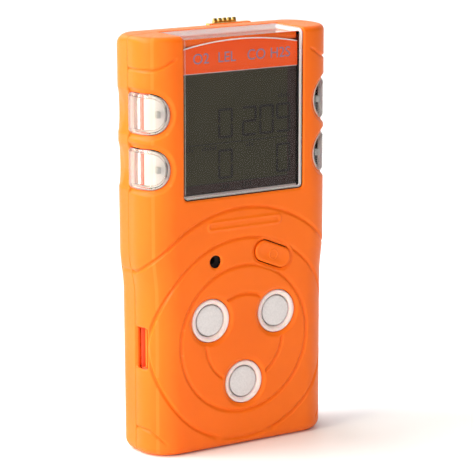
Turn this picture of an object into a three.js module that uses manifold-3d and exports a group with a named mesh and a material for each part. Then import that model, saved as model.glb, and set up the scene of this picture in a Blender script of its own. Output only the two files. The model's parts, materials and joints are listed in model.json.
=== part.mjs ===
// Portable gas detector: a hand-sized clip-on instrument with a display, three gas sensors behind
// round ports, a sounder, one push key, two alarm lights on each side and a sprung clip at the back.
//
// Units are millimetres. +Z is up, +X is to the right as the user reads the display, and the display
// faces -Y. The origin is the middle of the base, on the surface that the detector stands on.

import * as THREE from "three";
import { mergeVertices } from "three/addons/utils/BufferGeometryUtils.js";
import Module from "manifold-3d";

const wasm = await Module();
wasm.setup();

// ---------------------------------------------------------------- driving dimensions

const HEIGHT = 118;
const DEPTH = 22;
const UPPER_HALF_WIDTH = 31;
const LOWER_HALF_WIDTH = 30;
const WAIST = { bottom: 44, top: 66 }; // the sides move in between these heights
const FRONT_CORNER = 9;
const REAR_CORNER = 7;
const EDGE = 1.2; // rounding of the top and bottom edges
const WALL = 2;
const REAR_TAPER = 2; // how much shallower the case is at its base than at its top
const GAP = 0.3; // between pieces that touch
const PARTING = 0.5; // where the front cover meets the rear cover, along Y

const FRONT = -DEPTH / 2;
const REAR = DEPTH / 2;
const FRONT_INSIDE = FRONT + WALL;
const REAR_INSIDE = REAR - WALL;

const WINDOW = { half: 19.6, bottom: 72.7, thick: 1.6, sunk: 0.2 };
const STRIP = { bottom: 107.3, side: 113.9, crown: 115.8, thick: 0.6 };
const LCD = { half: 18.6, bottom: 73.6, top: 107, thick: 2 };

const DIAL = { z: 31.2, portRing: 12.75, keyRing: 25.1 }; // the round pattern on the lower front
const PORT_ANGLES = { left: 150, right: 30, lower: 270 };
const PORT_RADIUS = 6.3;
const SENSOR = { radius: 10.1, front: -8.2, rear: 4.9 };
const SOUNDER_ANGLE = 112.5;
const KEY_ANGLE = 67.5;
const KEY = { length: 12.4, width: 6, proud: 0.3, clearance: 0.3 };

const ALARM = { heights: { upper: 96.9, lower: 81.6 }, half: 5.6, reach: 24, thick: 1.6 };
const LATCH = { z: 30.9, tall: 11.8, front: -5.9, rear: -1.6, deep: 2.4 };

const SCREW = { x: 24, low: 7, high: 110, post: 2.7, head: 2, shank: 1, tip: -5 };
const BAR = { half: 23, end: 3, front: -6.4, rear: -5, bottom: 110 }; // behind the top of the window
const CLIP_PAD = { radius: 9, proud: 1.2 };
const CONTACT = { x: 6, z: 11, radius: 1.5 };
const PLATE = { half: 16.6, bottom: 21.4, top: 56.6, sunk: 0.3, margin: 0.4 };

// Inside the case: half widths, heights and the front and rear of each piece.
const HOLDER = { half: 21.4, bottom: 71.4, top: 109.6, front: -7.9, rear: -3.8 };
const BACKLIGHT = [-6.6, -4.4];
const INFRARED = { half: 3.2, bottom: 111.5, top: 113.6, front: -8, rear: -6.7 };
const MAIN_BOARD = { half: 21.2, bottom: 49.5, top: 112.5, front: -3.4, rear: -2.2 };
const SENSOR_BOARD = { half: 19.5, bottom: 5, top: 50.5, front: 5.2, rear: 6.4 };
const BATTERY = { half: 17.5, bottom: 58, top: 108, front: -1.4, rear: 6.6 };
const LED_BOARD = { inner: 21.6, outer: 26.3, bottom: 72.5, top: 104, front: -3.4, rear: -2.4 };
const LENS_SEAL = { inner: 26.6, outer: 27.8, bottom: 73, top: 103.5, front: -4.2, rear: -0.8 };
const REFLECTOR = { inner: 22, outer: 26, half: 4, front: -7.4 };
const WELL = { inner: 23, outer: 25.6, half: 2.2 }; // the lamp's well in the reflector
const LAMP = { inner: 23.4, outer: 25.2, half: 1, front: -4.9 };
const SWITCH = { half: 3, front: -5.6, plunger: 1.6, plungerFront: -6.9 };
const SOUNDER = { hole: 1.8, radius: 5.6, front: -8.6, bore: 1.2, boreEnd: -6 };
const SEAL = { inner: 4.6, outer: 6, rear: -8.7, lip: 0.3, chamfer: 0.8 };
const FILTER = { radius: 4.3, front: -9.9, rear: -9.3 };
const SENSOR_NECK = { radius: 4, front: -9 };
const MOTOR = { x: 23.4, y: 4.2, can: 3, bottom: 66, top: 78, bore: 0.8, boreTop: 70 };
const WEIGHT = { radius: 2.6, bottom: 60.5, top: 64.5, shaft: 0.45, shaftTop: 69.5, flat: 0.6 };
const MOUNTED = MAIN_BOARD.front - GAP; // the rear of what is mounted on the main board
const FAR = 60; // well outside the case, for tools that cut right through

const CLIP = {
  x: 10.6, // the clip is set off the middle of the back
  z: 82, // height of the swivel screw
  plate: 12.6,
  sheet: 0.9,
  half: 7,
  top: 117.6,
  nose: 3.7, // half of the width across the teeth
  bottom: 74,
  pinY: 18,
  pinZ: 90,
  pinRadius: 1,
  pinEnd: 7.4,
  pinHead: 1.6,
  ear: 2.2, // radius of the ears round the pin
  earInner: 6.1,
  lip: 0.9,
};
const JAW = { half: 5.7, cheekInner: 4.9, shoulder: 106, neck: 114, side: 6 };
const TEETH = { gaps: [-2.4, -0.8, 0.8, 2.4], half: 0.35, bottom: 117.8 };
const SPRING = { radius: 1.7, half: 4.2, clear: 0.2 };
const SWIVEL = { shank: 1.5, head: 3, headRear: 1.7, socket: 1.2, socketFloor: 0.9 };

// ---------------------------------------------------------------- small tools

const radians = THREE.MathUtils.degToRad;
const at = (angle, radius) => ({
  x: radius * Math.cos(radians(angle)),
  z: DIAL.z + radius * Math.sin(radians(angle)),
});

// A three.js geometry as a solid for joining and cutting.
function solid(geometry) {
  const bare = geometry.clone();
  bare.deleteAttribute("normal");
  bare.deleteAttribute("uv");
  const merged = mergeVertices(bare, 1e-4);
  return new wasm.Manifold(
    new wasm.Mesh({
      numProp: 3,
      vertProperties: new Float32Array(merged.attributes.position.array),
      triVerts: new Uint32Array(merged.index.array),
    }),
  );
}

function geometryOf(made) {
  const mesh = made.getMesh();
  const geometry = new THREE.BufferGeometry();
  geometry.setAttribute("position", new THREE.BufferAttribute(mesh.vertProperties, 3));
  geometry.setIndex(new THREE.BufferAttribute(mesh.triVerts, 1));
  geometry.computeVertexNormals();
  return geometry;
}

// A box between two values on each axis.
function box([x0, x1], [y0, y1], [z0, z1]) {
  const geometry = new THREE.BoxGeometry(x1 - x0, y1 - y0, z1 - z0);
  return solid(geometry.translate((x0 + x1) / 2, (y0 + y1) / 2, (z0 + z1) / 2));
}

// A round rod along Y, X or Z.
function rodY(radius, [y0, y1], x, z, sides = 24) {
  return solid(new THREE.CylinderGeometry(radius, radius, y1 - y0, sides).translate(x, (y0 + y1) / 2, z));
}

function rodX(radius, [x0, x1], y, z, sides = 20) {
  const geometry = new THREE.CylinderGeometry(radius, radius, x1 - x0, sides).rotateZ(Math.PI / 2);
  return solid(geometry.translate((x0 + x1) / 2, y, z));
}

function rodZ(radius, [z0, z1], x, y, sides = 20) {
  const geometry = new THREE.CylinderGeometry(radius, radius, z1 - z0, sides).rotateX(Math.PI / 2);
  return solid(geometry.translate(x, y, (z0 + z1) / 2));
}

// A front-view outline, drawn in X and Z, extruded from y0 to y1.
function slab(outline, [y0, y1], curveSegments = 8) {
  const geometry = new THREE.ExtrudeGeometry(outline, { depth: y1 - y0, bevelEnabled: false, curveSegments });
  return solid(geometry.rotateX(Math.PI / 2).translate(0, y1, 0));
}

// A side-view outline, drawn in Y and Z, extruded from x0 to x1.
function sideSlab(outline, [x0, x1], curveSegments = 8) {
  const geometry = new THREE.ExtrudeGeometry(outline, { depth: x1 - x0, bevelEnabled: false, curveSegments });
  return solid(geometry.rotateX(Math.PI / 2).rotateZ(Math.PI / 2).translate(x0, 0, 0));
}

// A slot-shaped outline with round ends, centred at (x, z) and turned by an angle.
function stadium(length, width, x, z, turn) {
  const shape = new THREE.Shape();
  const straight = (length - width) / 2;
  const place = (a) => [
    x + straight * Math.cos(radians(a)),
    z + straight * Math.sin(radians(a)),
  ];
  const start = radians(turn - 90);
  shape.absarc(...place(turn), width / 2, start, start + Math.PI, false);
  shape.absarc(...place(turn + 180), width / 2, start + Math.PI, start + 2 * Math.PI, false);
  shape.closePath();
  return shape;
}

const union = (...parts) => parts.reduce((a, b) => a.add(b));
const cut = (body, ...tools) => tools.reduce((a, b) => a.subtract(b), body);
const both = (make) => union(make(-1), make(1));

// ---------------------------------------------------------------- body of the case

const smooth = (t) => t * t * (3 - 2 * t);

function halfWidthAt(z) {
  const t = THREE.MathUtils.clamp((z - WAIST.bottom) / (WAIST.top - WAIST.bottom), 0, 1);
  return LOWER_HALF_WIDTH + (UPPER_HALF_WIDTH - LOWER_HALF_WIDTH) * smooth(t);
}

// The back leans forward towards the base. This moves a rear point forward to suit its height.
function leanedY(y, z) {
  if (y <= PARTING) return y;
  const share = REAR_TAPER / (REAR - PARTING);
  return PARTING + (y - PARTING) * (1 - share * (1 - z / HEIGHT));
}

const rearAt = (z) => leanedY(REAR, z);

// The plan of the case, seen from above, moved inwards by inset.
function plan(inset) {
  const x = UPPER_HALF_WIDTH - inset;
  const front = FRONT + inset;
  const rear = REAR - inset;
  const f = FRONT_CORNER - inset;
  const r = REAR_CORNER - inset;
  const shape = new THREE.Shape();
  shape.absarc(x - f, front + f, f, -Math.PI / 2, 0, false);
  shape.absarc(x - r, rear - r, r, 0, Math.PI / 2, false);
  shape.absarc(-x + r, rear - r, r, Math.PI / 2, Math.PI, false);
  shape.absarc(-x + f, front + f, f, Math.PI, 1.5 * Math.PI, false);
  shape.closePath();
  return shape;
}

// The whole case as one solid block, moved inwards by inset on all sides.
function block(inset, curveSegments) {
  const edge = Math.max(EDGE - inset, 0);
  const geometry = new THREE.ExtrudeGeometry(plan(inset), {
    depth: HEIGHT - 2 * inset - 2 * edge,
    steps: 8,
    curveSegments,
    bevelEnabled: edge > 0,
    bevelThickness: edge,
    bevelSize: edge,
    bevelOffset: -edge,
    bevelSegments: 2,
  });
  geometry.translate(0, 0, inset + edge);
  const position = geometry.attributes.position;
  for (let i = 0; i < position.count; i++) {
    const share = halfWidthAt(position.getZ(i)) / UPPER_HALF_WIDTH;
    position.setX(i, position.getX(i) * share);
    position.setY(i, leanedY(position.getY(i), position.getZ(i)));
  }
  return solid(geometry);
}

const outside = block(0, 5);
const inside = block(WALL, 4);
const across = [-FAR, FAR];
const upAndDown = [-FAR, HEIGHT + FAR];
const behindParting = box(across, [PARTING + GAP / 2, FAR], upAndDown);
const beforeParting = box(across, [-FAR, PARTING - GAP / 2], upAndDown);
const sideSpan = (side, near, far) => (side > 0 ? [near, far] : [-far, -near]);

// The outline of an alarm light in front view: open at the side, round towards the display.
function alarmOutline(side, z, margin) {
  const half = ALARM.half + margin;
  const centre = ALARM.reach + ALARM.half;
  const shape = new THREE.Shape();
  if (side > 0) {
    shape.moveTo(centre + 10, z + half);
    shape.absarc(centre, z, half, Math.PI / 2, 1.5 * Math.PI, false);
    shape.lineTo(centre + 10, z - half);
  } else {
    shape.moveTo(-centre - 10, z - half);
    shape.absarc(-centre, z, half, -Math.PI / 2, Math.PI / 2, false);
    shape.lineTo(-centre - 10, z + half);
  }
  shape.closePath();
  return shape;
}

const alarmPrism = (side, z, margin, span) => slab(alarmOutline(side, z, margin), span, 7);
const alarmHeights = Object.values(ALARM.heights);

function latchPocket(side, margin) {
  const floor = LOWER_HALF_WIDTH - LATCH.deep - margin;
  const reach = LATCH.tall / 2 + margin;
  const ys = [LATCH.front - margin, LATCH.rear + margin];
  return box(sideSpan(side, floor, LOWER_HALF_WIDTH + 1), ys, [LATCH.z - reach, LATCH.z + reach]);
}

const portPlaces = Object.fromEntries(
  Object.entries(PORT_ANGLES).map(([name, angle]) => [name, at(angle, DIAL.portRing)]),
);
const soundHole = at(SOUNDER_ANGLE, DIAL.keyRing);
const keyPlace = at(KEY_ANGLE, DIAL.keyRing);
const keySlot = (margin) =>
  stadium(KEY.length + 2 * margin, KEY.width + 2 * margin, keyPlace.x, keyPlace.z, KEY_ANGLE - 90);

const screwPlaces = [-1, 1].flatMap((side) => [SCREW.low, SCREW.high].map((z) => ({ x: side * SCREW.x, z })));

function frontCover() {
  const through = [FRONT - 1, FRONT_INSIDE + 1]; // right through the front wall
  const windowSpan = [-WINDOW.half, WINDOW.half];
  const skin = cut(outside, inside).intersect(beforeParting);
  const posts = screwPlaces.map(({ x, z }) =>
    rodY(SCREW.post, [FRONT_INSIDE - 0.5, PARTING - GAP / 2], x, z, 12).intersect(outside),
  );
  const pockets = both((side) => latchPocket(side, 1)).intersect(outside).intersect(beforeParting);
  // A bar behind the top of the window carries the infrared port and stiffens the opening.
  const barY = [BAR.front, BAR.rear];
  const bar = box([-BAR.half, BAR.half], barY, [BAR.bottom, HEIGHT - WALL]);
  const barEnds = both((side) =>
    box(sideSpan(side, BAR.half - BAR.end, BAR.half), barY, [BAR.bottom, HEIGHT - 1]),
  );
  const alarmHoles = [-1, 1].flatMap((side) =>
    alarmHeights.map((z) => alarmPrism(side, z, GAP, [FRONT - 1, PARTING + 1])),
  );
  const shell = cut(
    union(skin, ...posts, pockets),
    box(windowSpan, [FRONT - 1, FRONT_INSIDE + 0.01], [WINDOW.bottom, HEIGHT + 1]),
    box(windowSpan, [FRONT - 1, PARTING + 1], [HEIGHT - WALL - 0.01, HEIGHT + 1]),
    ...alarmHoles,
    ...Object.values(portPlaces).map(({ x, z }) => rodY(PORT_RADIUS, through, x, z, 28)),
    rodY(SOUNDER.hole, through, soundHole.x, soundHole.z, 16),
    slab(keySlot(KEY.clearance), through, 8),
    latchPocket(-1, 0),
    latchPocket(1, 0),
    ...screwPlaces.map(({ x, z }) => rodY(SCREW.shank + GAP, [SCREW.tip - 1, PARTING + 1], x, z, 12)),
  );
  return union(shell, bar, barEnds);
}

function rearCover() {
  const skin = cut(outside, inside).intersect(behindParting);
  const posts = screwPlaces.map(({ x, z }) =>
    rodY(SCREW.post, [PARTING + GAP / 2, rearAt(z) - WALL + 0.5], x, z, 12).intersect(outside),
  );
  const pad = rodY(CLIP_PAD.radius, [REAR_INSIDE - 0.5, REAR + CLIP_PAD.proud], CLIP.x, CLIP.z, 28);
  const half = PLATE.half + PLATE.margin;
  const plateSpan = [PLATE.bottom - PLATE.margin, PLATE.top + PLATE.margin];
  return cut(
    union(skin, ...posts, pad),
    ...screwPlaces.map(({ x, z }) => rodY(SCREW.shank + GAP, [PARTING - 1, REAR + 1], x, z, 12)),
    ...screwPlaces.map(({ x, z }) => rodY(SCREW.head + GAP, [rearAt(z) - 2.2, REAR + 1], x, z, 16)),
    rodY(SWIVEL.shank + GAP, [REAR - 5, REAR + 3], CLIP.x, CLIP.z, 16),
    both((side) => rodY(CONTACT.radius + GAP, [REAR_INSIDE - 4, REAR + 1], side * CONTACT.x, CONTACT.z, 16)),
    // a shallow recess for the rating plate
    cut(box([-half, half], [PARTING, REAR + 1], plateSpan), block(PLATE.sunk + GAP, 5)),
  );
}

// A flat ring that follows the plan of the parting joint and seals the covers.
function coverSeal() {
  const outer = block(WALL + GAP, 4);
  const inner = block(WALL + GAP + 1.1, 3);
  const span = box(across, [PARTING - 0.8, PARTING + 0.8], upAndDown);
  const clear = screwPlaces.map(({ x, z }) => rodY(SCREW.post + GAP, [PARTING - 2, PARTING + 2], x, z, 12));
  return cut(cut(outer, inner).intersect(span), ...clear);
}

// ---------------------------------------------------------------- display

function displayWindow() {
  const half = WINDOW.half - GAP;
  const front = FRONT + WINDOW.sunk;
  const top = HEIGHT - WINDOW.sunk;
  const pane = box([-half, half], [front, front + WINDOW.thick], [WINDOW.bottom + GAP, top]);
  const roof = box([-half, half], [front, PARTING - GAP / 2], [top - WINDOW.thick, top]);
  return union(pane, roof);
}

function nameStrip() {
  const half = WINDOW.half - 2 * GAP;
  const rise = STRIP.crown - STRIP.side;
  const radius = (half * half + rise * rise) / (2 * rise);
  const spread = Math.asin(half / radius);
  const shape = new THREE.Shape();
  shape.moveTo(-half, STRIP.bottom);
  shape.lineTo(half, STRIP.bottom);
  shape.absarc(0, STRIP.crown - radius, radius, Math.PI / 2 - spread, Math.PI / 2 + spread, false);
  shape.closePath();
  return slab(shape, [FRONT_INSIDE + 0.1, FRONT_INSIDE + 0.1 + STRIP.thick], 12);
}

// The plate of the display, and a holder that frames it.
const lcdPlate = (span) => box([-LCD.half, LCD.half], span, [LCD.bottom, LCD.top]);

function lcdHolder() {
  const ring = box([-HOLDER.half, HOLDER.half], [HOLDER.front, HOLDER.rear], [HOLDER.bottom, HOLDER.top]);
  const half = LCD.half + GAP;
  const hole = box([-half, half], [HOLDER.front - 1, HOLDER.rear + 1], [LCD.bottom - GAP, LCD.top + GAP]);
  return cut(ring, hole);
}

// A piece centred on x = 0, from its half width, front, rear, bottom and top.
const centred = ({ half, front, rear, bottom, top }) => box([-half, half], [front, rear], [bottom, top]);

// A piece at one side, from its inner and outer distance from the middle.
const sided = (side, { inner, outer, front, rear, bottom, top }) =>
  box(sideSpan(side, inner, outer), [front, rear], [bottom, top]);

// ---------------------------------------------------------------- alarm lights

function alarmLens(side, z) {
  const wall = cut(block(0, 5), block(ALARM.thick, 5)).intersect(beforeParting);
  return wall.intersect(alarmPrism(side, z, 0, [FRONT - 1, PARTING]));
}

// A white reflector with a square well for the lamp.
function reflector(side, z) {
  const shell = box(sideSpan(side, REFLECTOR.inner, REFLECTOR.outer), [REFLECTOR.front, MOUNTED], [
    z - REFLECTOR.half,
    z + REFLECTOR.half,
  ]);
  const well = box(sideSpan(side, WELL.inner, WELL.outer), [REFLECTOR.front - 1, MOUNTED + 1], [
    z - WELL.half,
    z + WELL.half,
  ]);
  return cut(shell, well);
}

const lamp = (side, z) =>
  box(sideSpan(side, LAMP.inner, LAMP.outer), [LAMP.front, MOUNTED], [z - LAMP.half, z + LAMP.half]);

// ---------------------------------------------------------------- sensors, sounder and key

function portSeal({ x, z }) {
  const profile = [
    [SEAL.inner, SEAL.rear],
    [SEAL.outer, SEAL.rear],
    [SEAL.outer, FRONT],
    [SEAL.outer - SEAL.lip, FRONT],
    [SEAL.inner, FRONT + SEAL.chamfer],
  ].map(([radius, y]) => new THREE.Vector2(radius, y));
  profile.push(profile[0].clone());
  return solid(new THREE.LatheGeometry(profile.reverse(), 28).translate(x, 0, z));
}

const portFilter = ({ x, z }) => rodY(FILTER.radius, [FILTER.front, FILTER.rear], x, z, 24);

function sensorBody({ x, z }) {
  const can = rodY(SENSOR.radius, [SENSOR.front + GAP, SENSOR.rear], x, z, 28);
  const neck = rodY(SENSOR_NECK.radius, [SENSOR_NECK.front, SENSOR.front + 1], x, z, 20);
  return union(can, neck);
}

function sounder() {
  const can = rodY(SOUNDER.radius, [SOUNDER.front, MOUNTED], soundHole.x, soundHole.z, 24);
  const bore = rodY(SOUNDER.bore, [SOUNDER.front - 0.4, SOUNDER.boreEnd], soundHole.x, soundHole.z, 12);
  return cut(can, bore);
}

function pushKey() {
  const cap = slab(keySlot(0), [FRONT - KEY.proud, FRONT_INSIDE + 0.6], 8);
  const flange = slab(keySlot(1), [FRONT_INSIDE + GAP, FRONT_INSIDE + 0.9], 8);
  return union(cap, flange);
}

function keySwitch() {
  const { x, z } = keyPlace;
  const xs = [x - SWITCH.half, x + SWITCH.half];
  const body = box(xs, [SWITCH.front, MOUNTED], [z - SWITCH.half, z + SWITCH.half]);
  return union(body, rodY(SWITCH.plunger, [SWITCH.plungerFront, SWITCH.front + 0.1], x, z, 16));
}

// ---------------------------------------------------------------- boards, battery and motor

function motorCan() {
  const can = rodZ(MOTOR.can, [MOTOR.bottom, MOTOR.top], MOTOR.x, MOTOR.y);
  return cut(can, rodZ(MOTOR.bore, [MOTOR.bottom - 1, MOTOR.boreTop], MOTOR.x, MOTOR.y, 12));
}

// The half-round weight that shakes the case, with its shaft.
function motorWeight() {
  const disc = rodZ(WEIGHT.radius, [WEIGHT.bottom, WEIGHT.top], MOTOR.x, MOTOR.y);
  const ys = [MOTOR.y - WEIGHT.flat, MOTOR.y + 5];
  const half = box([MOTOR.x - 5, MOTOR.x + 5], ys, [WEIGHT.bottom - 0.5, WEIGHT.top + 0.5]);
  const shaft = rodZ(WEIGHT.shaft, [WEIGHT.bottom, WEIGHT.shaftTop], MOTOR.x, MOTOR.y, 10);
  return union(disc.intersect(half), shaft);
}

function ratingPlate() {
  const plate = box([-PLATE.half, PLATE.half], [PARTING, REAR], [PLATE.bottom, PLATE.top]);
  return cut(plate.intersect(outside), block(PLATE.sunk, 5));
}

function contactPin(side) {
  const rear = rearAt(CONTACT.z);
  return rodY(CONTACT.radius, [rear - WALL + 0.2, rear + 0.1], side * CONTACT.x, CONTACT.z, 16);
}

function caseScrew({ x, z }) {
  const rear = rearAt(z);
  const head = rodY(SCREW.head, [rear - 1.9, rear - 0.5], x, z, 16);
  const drive = rodY(0.8, [rear - 1.2, rear], x, z, 6);
  return cut(union(head, rodY(SCREW.shank, [SCREW.tip, rear - 1.5], x, z, 12)), drive);
}

// ---------------------------------------------------------------- clip, modelled on x = 0

const clipFace = CLIP.plate + CLIP.sheet;
const pinHole = () => rodX(CLIP.pinRadius + GAP, [-CLIP.half - 2, CLIP.half + 2], CLIP.pinY, CLIP.pinZ);

function clipBase() {
  const plate = box([-CLIP.half, CLIP.half], [CLIP.plate, clipFace], [CLIP.bottom, CLIP.top]);
  const lip = box([-CLIP.half, CLIP.half], [CLIP.plate, clipFace + 1], [CLIP.top - CLIP.lip, CLIP.top]);
  const ears = both((side) => {
    const ear = new THREE.Shape();
    ear.moveTo(clipFace - 0.2, CLIP.pinZ - 6);
    ear.absarc(CLIP.pinY, CLIP.pinZ, CLIP.ear, -0.45 * Math.PI, 0.45 * Math.PI, false);
    ear.lineTo(clipFace - 0.2, CLIP.pinZ + 6);
    ear.closePath();
    return sideSlab(ear, sideSpan(side, CLIP.earInner, CLIP.half), 8);
  });
  const screwHole = rodY(SWIVEL.shank + GAP, [CLIP.plate - 1, clipFace + 1], 0, CLIP.z, 16);
  return cut(union(plate, lip, ears), screwHole, pinHole());
}

// The sprung lever: teeth at the top, a web over the pin and a finger pad at the bottom.
function clipJaw() {
  const lever = [
    [15.4, 118.7],
    [16, 118.7],
    [19, 108],
    [20.8, 98],
    [21, 86],
    [25.6, 72],
    [24.8, 71.6],
    [20.1, 85.8],
    [19.9, 97.8],
    [18.1, 107.6],
    [15.1, 116.6],
    [15.1, 118],
  ];
  const cheekOutline = [
    [20.4, 83.6],
    [20.4, 96.4],
    [18.2, 94.6],
    [16, 91.6],
    [16, 88.4],
    [17.4, 86],
  ];
  // The front view of one half of the lever, which narrows towards the teeth.
  const taper = [
    [JAW.side, FAR],
    [JAW.side, JAW.shoulder],
    [CLIP.nose, JAW.neck],
    [CLIP.nose, HEIGHT + 7],
  ];
  const mirrored = taper.map(([x, z]) => [-x, z]).reverse();
  const shapeOf = (points) => new THREE.Shape(points.map(([u, v]) => new THREE.Vector2(u, v)));
  const web = sideSlab(shapeOf(lever), [-JAW.half, JAW.half], 8);
  const narrowed = web.intersect(slab(shapeOf([...taper, ...mirrored]), [10, 30]));
  const cheeks = both((side) => sideSlab(shapeOf(cheekOutline), sideSpan(side, JAW.cheekInner, JAW.half), 8));
  const notches = TEETH.gaps.map((x) =>
    box([x - TEETH.half, x + TEETH.half], [14, 17], [TEETH.bottom, HEIGHT + 3]),
  );
  return cut(union(narrowed, cheeks), pinHole(), ...notches);
}

function clipPin() {
  const pin = rodX(CLIP.pinRadius, [-CLIP.pinEnd, CLIP.pinEnd], CLIP.pinY, CLIP.pinZ);
  const heads = both((side) =>
    rodX(CLIP.pinHead, sideSpan(side, CLIP.pinEnd - 0.1, CLIP.pinEnd + 0.5), CLIP.pinY, CLIP.pinZ),
  );
  return union(pin, heads);
}

function clipSpring() {
  const coil = rodX(SPRING.radius, [-SPRING.half, SPRING.half], CLIP.pinY, CLIP.pinZ);
  const bore = [-SPRING.half - 1, SPRING.half + 1];
  return cut(coil, rodX(CLIP.pinRadius + SPRING.clear, bore, CLIP.pinY, CLIP.pinZ));
}

function clipScrew() {
  const shank = rodY(SWIVEL.shank, [REAR - 4, clipFace + 0.5], 0, CLIP.z, 16);
  const head = rodY(SWIVEL.head, [clipFace + GAP, clipFace + SWIVEL.headRear], 0, CLIP.z, 20);
  const socket = rodY(SWIVEL.socket, [clipFace + SWIVEL.socketFloor, clipFace + 3], 0, CLIP.z, 6);
  return cut(union(shank, head), socket);
}

// ---------------------------------------------------------------- the assembly

const MATERIALS = {
  case_orange: { color: 0xff6f1a, roughness: 0.42, metalness: 0 },
  strip_orange: { color: 0xff4a12, roughness: 0.35, metalness: 0 },
  clear: { color: 0xf4f4f2, roughness: 0.06, metalness: 0 },
  lcd: { color: 0x3a3b2d, roughness: 0.2, metalness: 0 },
  white: { color: 0xece9e6, roughness: 0.5, metalness: 0 },
  filter: { color: 0xe4e1e0, roughness: 0.85, metalness: 0 },
  coral: { color: 0xe85a3c, roughness: 0.6, metalness: 0 },
  black: { color: 0x1b1a1a, roughness: 0.55, metalness: 0 },
  board: { color: 0x1e5a34, roughness: 0.5, metalness: 0 },
  steel: { color: 0xc2c2c2, roughness: 0.25, metalness: 1 },
  gold: { color: 0xd4a64a, roughness: 0.3, metalness: 1 },
  cell: { color: 0x4c6f9a, roughness: 0.4, metalness: 0 },
};
const materials = Object.fromEntries(
  Object.entries(MATERIALS).map(([name, look]) => [name, new THREE.MeshStandardMaterial(look)]),
);

const detector = new THREE.Group();
const clip = new THREE.Group();
clip.position.x = CLIP.x;
detector.add(clip);

function place(name, made, material, group = detector) {
  const mesh = new THREE.Mesh(geometryOf(made), materials[material]);
  mesh.name = name;
  group.add(mesh);
}

place("front_cover", frontCover(), "case_orange");
place("rear_cover", rearCover(), "case_orange");
place("cover_seal", coverSeal(), "black");

place("display_window", displayWindow(), "clear");
place("name_strip", nameStrip(), "strip_orange");
place("lcd_glass", lcdPlate([FRONT_INSIDE + 0.1, FRONT_INSIDE + 0.1 + LCD.thick]), "lcd");
place("lcd_backlight", lcdPlate(BACKLIGHT), "white");
place("lcd_holder", lcdHolder(), "black");
place("infrared_port", centred(INFRARED), "black");

for (const [sideName, side] of [["left", -1], ["right", 1]]) {
  for (const [level, z] of Object.entries(ALARM.heights)) {
    place(`alarm_lens_${sideName}_${level}`, alarmLens(side, z), "clear");
    place(`alarm_reflector_${sideName}_${level}`, reflector(side, z), "white");
    place(`alarm_lamp_${sideName}_${level}`, lamp(side, z), "white");
  }
  place(`lens_seal_${sideName}`, sided(side, LENS_SEAL), "coral");
  place(`led_board_${sideName}`, sided(side, LED_BOARD), "board");
  place(`charge_contact_${sideName}`, contactPin(side), "gold");
}

for (const [name, spot] of Object.entries(portPlaces)) {
  place(`sensor_${name}`, sensorBody(spot), "white");
  place(`port_seal_${name}`, portSeal(spot), "white");
  place(`port_filter_${name}`, portFilter(spot), "filter");
}

place("sounder", sounder(), "black");
place("power_key", pushKey(), "case_orange");
place("key_switch", keySwitch(), "black");
place("main_board", centred(MAIN_BOARD), "board");
place("sensor_board", centred(SENSOR_BOARD), "board");
place("battery", centred(BATTERY), "cell");
place("vibration_motor", motorCan(), "steel");
place("vibration_weight", motorWeight(), "steel");
place("rating_plate", ratingPlate(), "black");
screwPlaces.forEach((spot, i) => place(`case_screw_${i + 1}`, caseScrew(spot), "steel"));

place("clip_screw", clipScrew(), "steel", clip);
place("clip_base", clipBase(), "steel", clip);
place("clip_jaw", clipJaw(), "steel", clip);
place("clip_pin", clipPin(), "steel", clip);
place("clip_spring", clipSpring(), "steel", clip);

export default detector;
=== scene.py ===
# Portable gas detector: the looks. Lengths in the helper functions are in millimetres, in the CAD frame.
import json
import math

import bmesh
import bpy
import numpy as np
from mathutils import Matrix, Vector


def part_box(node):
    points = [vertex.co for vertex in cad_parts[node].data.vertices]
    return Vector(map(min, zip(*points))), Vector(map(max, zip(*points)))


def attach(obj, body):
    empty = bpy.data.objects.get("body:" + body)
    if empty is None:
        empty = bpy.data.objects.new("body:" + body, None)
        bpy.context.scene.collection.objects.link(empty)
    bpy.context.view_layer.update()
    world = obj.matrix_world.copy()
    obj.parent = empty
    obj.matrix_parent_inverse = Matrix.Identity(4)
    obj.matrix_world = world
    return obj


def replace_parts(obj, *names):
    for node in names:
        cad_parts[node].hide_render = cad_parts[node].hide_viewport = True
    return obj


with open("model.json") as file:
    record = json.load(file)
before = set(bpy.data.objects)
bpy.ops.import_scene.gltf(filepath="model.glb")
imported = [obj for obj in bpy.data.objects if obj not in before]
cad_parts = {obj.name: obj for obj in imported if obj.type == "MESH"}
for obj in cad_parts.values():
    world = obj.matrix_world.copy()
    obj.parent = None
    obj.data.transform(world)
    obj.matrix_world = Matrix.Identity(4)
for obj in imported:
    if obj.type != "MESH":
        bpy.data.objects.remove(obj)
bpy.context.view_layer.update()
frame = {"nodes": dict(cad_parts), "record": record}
MM = 0.001


def corners(node):
    """Lowest and highest corner of a CAD node, in millimetres."""
    low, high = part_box(node)
    return np.array(low) / MM, np.array(high) / MM


def centre(node):
    low, high = corners(node)
    return (low + high) / 2


def side_name_of(side):
    return "right" if side > 0 else "left"


# ---------------- driving dimensions, from the frame

CASE_LOW, CASE_HIGH = corners("front_cover")
TOP = CASE_HIGH[2]
FRONT = CASE_LOW[1]
REAR = 11.0
WIDE = CASE_HIGH[0]
NARROW = WIDE - 1
WAIST = (46.0, 58.0)
FRONT_CORNER = 9.0
REAR_CORNER = 7.0
REAR_TAPER = 2.0
PARTING = {"upper": 0.2, "lower": -1.1, "over_window": 2.5}
PARTING_GAP = 0.3
TOP_EDGE = 1.6
BOTTOM_EDGE = 2.6
REAR_EDGE = 3.2
WALL = 1.7

WINDOW_HALF = 19.5
WINDOW_BOTTOM = 72.7
DIAL_Z = 31.2
RINGS = (29.06, 21.1, 12.8)
SWEEP_RADIUS = 37.7
SWEEP_TURN_X = 25.0
SWEEP_SIDE_Z = 52.5
LENS_HALF = 5.6
LENS_CENTRE_X = 29.6
PORT_RADIUS = 6.3
KEY_TURN = math.radians(-22.5)

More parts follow.
